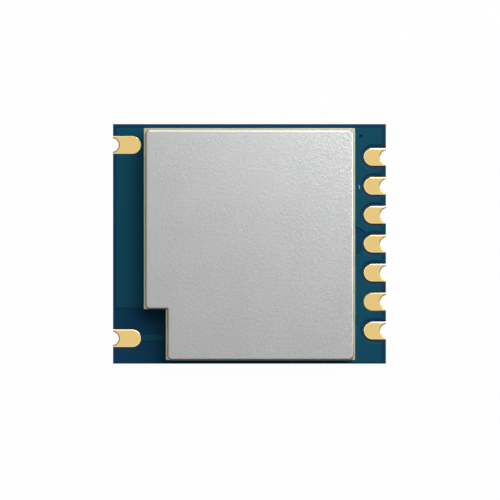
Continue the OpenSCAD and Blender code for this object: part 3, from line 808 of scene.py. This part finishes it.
class TRANSCEIVER_OT_shield(bpy.types.Operator):
    """Build the drawn shield can with its bend, its upright corners and the notch"""

    bl_idname = "transceiver.shield"
    bl_label = "Shield can"

    def execute(self, context):
        sheet = settings().shield.sheet_t
        outer = can_rings(0, CAN_LO.z, CAN_HI.z)
        inner = can_rings(sheet, CAN_LO.z, CAN_HI.z - sheet)
        bm = bmesh.new()
        rows = loft(bm, inner[::-1] + outer)
        close_ends(bm, rows)
        bmesh.ops.recalc_face_normals(bm, faces=bm.faces)
        finish_piece(mesh_from(bm), "shield_cover", ["shield_can"], "shield_sheet")
        return {"FINISHED"}


class TRANSCEIVER_OT_legend(bpy.types.Operator):
    """Print the legend tick beside the second right-hand pad"""

    bl_idname = "transceiver.legend"
    bl_label = "Legend tick"

    def execute(self, context):
        middle = (MARK_LO + MARK_HI) / 2
        half_w, half_l = TICK_HALF * (MARK_HI.x - MARK_LO.x), (MARK_HI.y - MARK_LO.y) / 2
        rings = []
        for inset, rise in [(0, 0)] + rim(TICK_RIM * half_w, MARK_HI.z - MARK_LO.z):
            r = half_w - inset
            ring = []
            for k in range(TICK_STEPS):
                t = 2 * math.pi * (k + 0.5) / TICK_STEPS
                reach = half_l - half_w if math.sin(t) > 0 else half_w - half_l
                ring.append((middle.x + r * math.cos(t), middle.y + reach + r * math.sin(t),
                             MARK_LO.z + rise))
            rings.append(ring)
        bm = bmesh.new()
        close_ends(bm, loft(bm, rings))
        finish_piece(mesh_from(bm), "legend_tick", ["legend_mark"], "legend_ink")
        return {"FINISHED"}


# Finishes


def shared_group(name, inputs, outputs):
    """New shader group, with its input and output nodes, or None with the group that is already there."""
    if name in bpy.data.node_groups:
        return bpy.data.node_groups[name], None, None
    group = bpy.data.node_groups.new(name, "ShaderNodeTree")
    for label, kind, value in inputs:
        socket = group.interface.new_socket(label, in_out="INPUT", socket_type=kind)
        socket.default_value = value
    for label, kind in outputs:
        group.interface.new_socket(label, in_out="OUTPUT", socket_type=kind)
    return group, group.nodes.new("NodeGroupInput"), group.nodes.new("NodeGroupOutput")


def node(tree, kind, values=(), **options):
    """New node with its options and its inputs set: a value by socket, or a link from a socket."""
    made = tree.nodes.new(kind)
    for name, value in options.items():
        setattr(made, name, value)
    for name, value in dict(values).items():
        if isinstance(value, bpy.types.NodeSocket):
            tree.links.new(value, made.inputs[name])
        else:
            made.inputs[name].default_value = value
    return made


def maths(tree, operation, *values):
    """Result of a calculation with values or sockets."""
    return node(tree, "ShaderNodeMath", enumerate(values), operation=operation).outputs[0]


def ramp(tree, value, low, high, to_low=0.0, to_high=1.0):
    """A value that is mapped from one range to another and held at its ends."""
    values = {"Value": value, "From Min": low, "From Max": high, "To Min": to_low, "To Max": to_high}
    return node(tree, "ShaderNodeMapRange", values).outputs[0]


def noise(tree, place, scale, rough=0.5):
    """Uneven tone round 0.5."""
    values = {"Vector": place, "Scale": scale, "Detail": 2.0, "Roughness": rough}
    return node(tree, "ShaderNodeTexNoise", values).outputs[0]


def mix(tree, factor, start, end):
    """Value between two values."""
    return node(tree, "ShaderNodeMix", {"Factor": factor, 2: start, 3: end}).outputs[0]


def paint(tint):
    """A colour for a socket: a link as it is, or three parts with a full fourth."""
    return tint if isinstance(tint, bpy.types.NodeSocket) else (*tint, 1)


def blend(tree, factor, start, end):
    """Colour between two colours."""
    values = {"Factor": factor, 6: paint(start), 7: paint(end)}
    return node(tree, "ShaderNodeMix", values, data_type="RGBA").outputs[2]


def millimetres(tree):
    """Place on the piece, in millimetres."""
    place = node(tree, "ShaderNodeTexCoord").outputs["Object"]
    return node(tree, "ShaderNodeVectorMath", {0: place, "Scale": 1000}, operation="SCALE").outputs["Vector"]


def off_middle(tree, place):
    """Distance from the middle plane of the board, in millimetres."""
    height = node(tree, "ShaderNodeSeparateXYZ", {0: place}).outputs["Z"]
    return maths(tree, "ABSOLUTE", maths(tree, "SUBTRACT", height, (BOARD_LO.z + BOARD_HI.z) / 2 / MM))


def grain_group():
    """Fine uneven surface: a tone and a height from two sizes of grain."""
    group, given, result = shared_group(
        "fine_grain",
        [("Grains per mm", "NodeSocketFloat", 4.0), ("Fine share", "NodeSocketFloat", 0.5)],
        [("Tone", "NodeSocketFloat"), ("Height", "NodeSocketFloat")])
    if given is None:
        return group
    place, grains = millimetres(group), given.outputs["Grains per mm"]
    coarse, broad = noise(group, place, grains, 0.6), noise(group, place, 0.35)
    fine = noise(group, place, maths(group, "MULTIPLY", grains, 3.1), 0.65)
    height = mix(group, given.outputs["Fine share"], coarse, fine)
    group.links.new(mix(group, 0.3, height, broad), result.inputs["Tone"])
    group.links.new(height, result.inputs["Height"])
    return group


def shade_group():
    """A colour that a tone makes a little darker or lighter."""
    group, given, result = shared_group(
        "tone_shade",
        [("Colour", "NodeSocketColor", (1, 1, 1, 1)), ("Tone", "NodeSocketFloat", 0.5),
         ("Spread", "NodeSocketFloat", 0.1)],
        [("Colour", "NodeSocketColor")])
    if given is None:
        return group
    off = maths(group, "SUBTRACT", given.outputs["Tone"], 0.5)
    gain = maths(group, "MULTIPLY_ADD", off, given.outputs["Spread"], 1.0)
    values = {0: given.outputs["Colour"], "Scale": gain}
    shade = node(group, "ShaderNodeVectorMath", values, operation="SCALE")
    group.links.new(shade.outputs[0], result.inputs["Colour"])
    return group


def new_finish(name):
    """New material with its tree and surface shader."""
    material = bpy.data.materials.new(name)
    material.use_nodes = True
    tree = material.node_tree
    tree.nodes.clear()
    shader = tree.nodes.new("ShaderNodeBsdfPrincipled")
    tree.links.new(shader.outputs[0], tree.nodes.new("ShaderNodeOutputMaterial").inputs["Surface"])
    return material, tree, shader


def grained(tree, shader, tint, spread, grains, relief, rough, fine=0.5):
    """Colour, roughness and relief of a grained surface; rough runs from the dark to the light tone."""
    grain = node(tree, "ShaderNodeGroup", node_tree=grain_group())
    grain.inputs["Grains per mm"].default_value = grains
    grain.inputs["Fine share"].default_value = fine
    tone = grain.outputs["Tone"]
    shade = node(tree, "ShaderNodeGroup", {"Colour": paint(tint), "Tone": tone, "Spread": spread},
                 node_tree=shade_group())
    tree.links.new(shade.outputs["Colour"], shader.inputs["Base Color"])
    tree.links.new(ramp(tree, tone, 0.3, 0.7, *rough), shader.inputs["Roughness"])
    bump = node(tree, "ShaderNodeBump", {"Height": grain.outputs["Height"], "Distance": relief * MM})
    bump.inputs["Strength"].default_value = 1.0
    tree.links.new(bump.outputs[0], shader.inputs["Normal"])


def sheet_finish(tree, shader):
    """Fine blasted metal sheet, burnished by the die on its bends and walls."""
    shield, colours = settings().shield, settings().colours
    shader.inputs["Metallic"].default_value = 1.0
    height = node(tree, "ShaderNodeSeparateXYZ", {0: millimetres(tree)}).outputs["Z"]
    top, bend_end, flat_start = CAN_HI.z / MM, 0.02, 0.005
    flat = ramp(tree, height, top - bend_end, top - flat_start)
    grained(tree, shader, blend(tree, flat, colours.wall, colours.sheet), spread=0.12, grains=6.0,
            relief=0.0195, rough=(0.31, 0.45))
    blasted = shader.inputs["Roughness"].links[0].from_socket
    tree.links.new(mix(tree, flat, shield.bend_rough, blasted), shader.inputs["Roughness"])
    tree.links.new(flat, shader.inputs["Normal"].links[0].from_node.inputs["Strength"])


def gold_finish(tree, shader):
    """Thin gold over matt nickel, with a painted highlight, a paler gold, on the rims of the lands and
    painted shade, a browner gold, round the half holes.
    """
    shader.inputs["Metallic"].default_value = 1.0
    tint = settings().colours.gold
    for edge in ("land_edge", "hole_edge"):
        near = node(tree, "ShaderNodeAttribute", attribute_name=edge).outputs["Fac"]
        tint = blend(tree, near, tint, getattr(settings().colours, edge))
    grained(tree, shader, tint, spread=0.06, grains=7.0, relief=0.002, rough=(0.1, 0.14))


def solder_mask_finish(tree, shader):
    """Solder mask: bluer where it lies low on laminate, greener where it is raised over copper, darker over
    drilled holes, partly painted shade in their dimples.
    """
    board, colours = settings().board, settings().colours
    shader.inputs["Specular IOR Level"].default_value = 0.02
    face, over_film, under_top = (BOARD_HI.z - BOARD_LO.z) / 2, 0.005, 0.02
    raised = ramp(tree, off_middle(tree, millimetres(tree)), (face + board.mask_film) / MM + over_film,
                  (face + board.mask_rise) / MM - under_top)
    tint = blend(tree, raised, colours.mask_on_laminate, colours.mask_on_copper)
    # partly painted shade: darker over drilled holes
    hole = node(tree, "ShaderNodeAttribute", attribute_name="over_via").outputs["Fac"]
    grained(tree, shader, blend(tree, hole, tint, colours.mask_via_shade), spread=0.12, grains=2.6, relief=0.003,
            rough=(0.34, 0.44), fine=0.4)


def laminate_finish(tree, shader):
    """Sawn glass-epoxy: plies across the edge, with the cut ends of glass bundles; its faces are near-black,
    painted shade for the bare gaps round the lands.
    """
    colours = settings().colours
    shader.inputs["Specular IOR Level"].default_value = 0.3
    place = millimetres(tree)
    waves = {"Vector": place, "Scale": 2.4, "Distortion": 1.2, "Detail": 2.0, "Detail Scale": 1.5}
    plies = node(tree, "ShaderNodeTexWave", waves, wave_type="BANDS", bands_direction="Z")
    stretched = node(tree, "ShaderNodeMapping", {"Vector": place, "Scale": (1, 1, 3)})
    bundles = node(tree, "ShaderNodeTexVoronoi", {"Vector": stretched.outputs[0], "Scale": 6.0})
    bundle_r, bundle_core, skin = 0.35, 0.1, 0.002
    ends = ramp(tree, bundles.outputs["Distance"], bundle_r, bundle_core)
    glass = maths(tree, "MULTIPLY", ends, plies.outputs["Fac"])
    # painted shade: the faces of the core take the near-black colour
    face_at = (BOARD_HI.z - BOARD_LO.z) / 2 / MM - skin
    face = maths(tree, "GREATER_THAN", off_middle(tree, place), face_at)
    tint = blend(tree, face, blend(tree, glass, colours.laminate, colours.fibre), colours.painted_gap_shade)
    grained(tree, shader, tint, spread=0.25, grains=9.0, relief=0.004, rough=(0.6, 0.75))


def plain_finish(tree, shader, tint, metal, *grain):
    """Grained surface of one colour, which is named among the settings or given by its parts."""
    shader.inputs["Metallic"].default_value = metal
    grained(tree, shader, getattr(settings().colours, tint) if isinstance(tint, str) else tint, *grain)


# Finishes by slot: name and maker, and for a plain finish its colour, share of metal, spread of tone,
# grains per mm, relief in mm and roughness
FINISHES = {
    "laminate": ("sawn_laminate", laminate_finish),
    "gold_plate": ("matt_gold", gold_finish),
    "shield_sheet": ("blasted_sheet", sheet_finish),
    "solder_mask": ("solder_mask_film", solder_mask_finish),
    "copper": ("bare_copper", plain_finish, "copper", 1, 0.2, 3, 0.002, (0.35, 0.5)),
    "ring": ("dull_gold", plain_finish, "ring", 0.6, 0.1, 7, 0.002, (0.2, 0.26)),
    "solder": ("solder_joint", plain_finish, "solder", 1, 0.2, 5, 0.004, (0.25, 0.4)),
    "tin": ("tinned_terminal", plain_finish, "tin", 1, 0.15, 8, 0.002, (0.3, 0.45)),
    "chip_mould": ("chip_plastic", plain_finish, "mould", 0, 0.4, 8, 0.003, (0.55, 0.7)),
    "crystal_ceramic": ("crystal_case", plain_finish, (0.17, 0.13, 0.09), 0, 0.2, 6, 0.002, (0.5, 0.6)),
    "capacitor_ceramic": ("capacitor_case", plain_finish, (0.34, 0.21, 0.12), 0, 0.25, 7, 0.002, (0.45, 0.6)),
    "inductor_ceramic": ("inductor_case", plain_finish, (0.07, 0.11, 0.13), 0, 0.25, 7, 0.002, (0.4, 0.55)),
    "resistor_body": ("resistor_case", plain_finish, (0.01, 0.01, 0.011), 0, 0.3, 7, 0.002, (0.3, 0.45)),
    "legend_ink": ("printed_ink", plain_finish, "ink", 0, 0.1, 12, 0.001, (0.5, 0.6)),
}


def finish(slot):
    """Material of a slot, made when it is first asked for."""
    name, maker, *values = FINISHES[slot]
    if name not in bpy.data.materials:
        maker(*new_finish(name)[1:], *values)
    return bpy.data.materials[name]


class TRANSCEIVER_OT_inner_parts(bpy.types.Operator):
    """Finish the core, the copper, the joints and the components that keep their CAD shapes"""

    bl_idname = "transceiver.inner_parts"
    bl_label = "Core and inner parts"

    def execute(self, context):
        for part in frame["record"]["subparts"]:
            mesh = frame["nodes"][part["node"]].data
            mesh.materials.clear()
            mesh.materials.append(finish(part["material_slot"]))
        return {"FINISHED"}


# Stage


def floor_finish():
    """Pale floor: white to the view; in reflections it glows with painted light, bright beyond two sides and
    dim elsewhere.
    """
    material, tree, shader = new_finish("pale_floor")
    stage = settings().stage
    shader.inputs["Base Color"].default_value = (0.9, 0.9, 0.9, 1)
    shader.inputs["Roughness"].default_value = 0.9
    shader.inputs["Specular IOR Level"].default_value = 0.0
    path = node(tree, "ShaderNodeLightPath").outputs
    white = 0.0
    for ray in ("Is Camera Ray", "Is Transmission Ray", "Is Glossy Ray"):
        white = maths(tree, "MAXIMUM", white, maths(tree, "MULTIPLY", path[ray], stage.floor_glow))
    place = node(tree, "ShaderNodeSeparateXYZ", {0: millimetres(tree)}).outputs
    # painted light: glossy rays see the floor glow brighter beyond the right and far sides
    beyond = ramp(tree, maths(tree, "MAXIMUM", place["X"], place["Y"]), *SHINE_EDGE)
    inside = ramp(tree, maths(tree, "MINIMUM", place["X"], place["Y"]), *DIM_EDGE)
    shine = mix(tree, maths(tree, "MULTIPLY", beyond, inside), stage.floor_dim, stage.floor_shine)
    bright = mix(tree, path["Is Glossy Ray"], 1.0, shine)
    glow = node(tree, "ShaderNodeEmission", {"Color": (1, 1, 1, 1), "Strength": bright})
    surface = shader.outputs[0].links[0].to_socket
    mixed = node(tree, "ShaderNodeMixShader", {0: white, 1: shader.outputs[0], 2: glow.outputs[0]})
    tree.links.new(mixed.outputs[0], surface)
    return material


def add_lamp(name):
    """Soft lamp that points at the module, from the settings that start with its name."""
    stage = settings().stage
    bright, high, wide, far, turn, climb = (getattr(stage, name + "_" + part) for part in LAMP_PARTS)
    across = math.cos(climb)
    place = far * Vector((across * math.sin(turn), across * math.cos(turn), math.sin(climb)))
    lamp = bpy.data.lights.new(name, "AREA")
    lamp.shape = "RECTANGLE"
    lamp.size = wide
    lamp.size_y = high
    lamp.energy = bright * math.pi * wide * high
    holder = bpy.data.objects.new(name, lamp)
    holder.location = place
    holder.rotation_euler = (-place).to_track_quat("-Z", "Y").to_euler()
    holder.visible_camera = False
    holder.visible_diffuse = name == "key"
    holder.visible_glossy = name != "key"
    bpy.context.scene.collection.objects.link(holder)


class TRANSCEIVER_OT_stage(bpy.types.Operator):
    """Set the floor, the lamps, the even light and the camera"""

    bl_idname = "transceiver.stage"
    bl_label = "Stage"

    def execute(self, context):
        stage = settings().stage
        scene = context.scene
        bm = bmesh.new()
        bmesh.ops.create_grid(bm, x_segments=1, y_segments=1, size=stage.floor_size / 2)
        bmesh.ops.translate(bm, verts=bm.verts, vec=(0, 0, -FLOOR_DROP))
        floor = bpy.data.objects.new("floor", mesh_from(bm, "floor"))
        floor.data.materials.append(floor_finish())
        scene.collection.objects.link(floor)
        for name in LAMPS:
            add_lamp(name)
        world = bpy.data.worlds.new("even_light")
        world.use_nodes = True
        light = world.node_tree.nodes["Background"].inputs
        light["Strength"].default_value = stage.sky
        light["Color"].default_value = (1, 1, 1, 1)
        scene.world = world
        camera = bpy.data.objects.new("camera", bpy.data.cameras.new("camera"))
        camera.data.sensor_width = 36
        camera.data.lens = stage.lens
        camera.data.clip_start = 0.01
        camera.data.clip_end = 10
        height = stage.view_w * stage.lens / camera.data.sensor_width
        camera.location = (stage.view_x, stage.view_y, BOARD_HI.z + settings().board.land_t + height)
        scene.collection.objects.link(camera)
        scene.camera = camera
        scene.view_settings.view_transform = "Standard"
        return {"FINISHED"}


class TRANSCEIVER_PT_module(bpy.types.Panel):
    """Sizes, finishes and steps of the module"""

    bl_idname = "TRANSCEIVER_PT_module"
    bl_label = "Transceiver module"
    bl_space_type = "VIEW_3D"
    bl_region_type = "UI"
    bl_category = "Transceiver"

    def draw(self, context):
        chosen = context.scene.transceiver
        for step in STEPS:
            self.layout.operator(step.bl_idname)
        for group in (chosen.board, chosen.shield, chosen.colours, chosen.stage):
            box = self.layout.box()
            for name in group.__annotations__:
                box.prop(group, name)


STEPS = (TRANSCEIVER_OT_inner_parts, TRANSCEIVER_OT_top_mask, TRANSCEIVER_OT_bottom_mask, TRANSCEIVER_OT_pads,
         TRANSCEIVER_OT_ring, TRANSCEIVER_OT_shield, TRANSCEIVER_OT_legend, TRANSCEIVER_OT_stage)
GROUPS = (BoardSizes, ShieldSizes, FinishColours, StageSizes, TransceiverSettings)
CLASSES = GROUPS + STEPS + (TRANSCEIVER_PT_module,)


def register():
    for made in CLASSES:
        bpy.utils.register_class(made)
    bpy.types.Scene.transceiver = PointerProperty(type=TransceiverSettings)


def unregister():
    del bpy.types.Scene.transceiver
    for made in reversed(CLASSES):
        bpy.utils.unregister_class(made)


def main():
    register()
    bpy.ops.transceiver.inner_parts()
    bpy.ops.transceiver.top_mask()
    bpy.ops.transceiver.bottom_mask()
    bpy.ops.transceiver.pads()
    bpy.ops.transceiver.ring()
    bpy.ops.transceiver.shield()
    bpy.ops.transceiver.legend()
    bpy.ops.transceiver.stage()


if __name__ == "__main__":
    main()
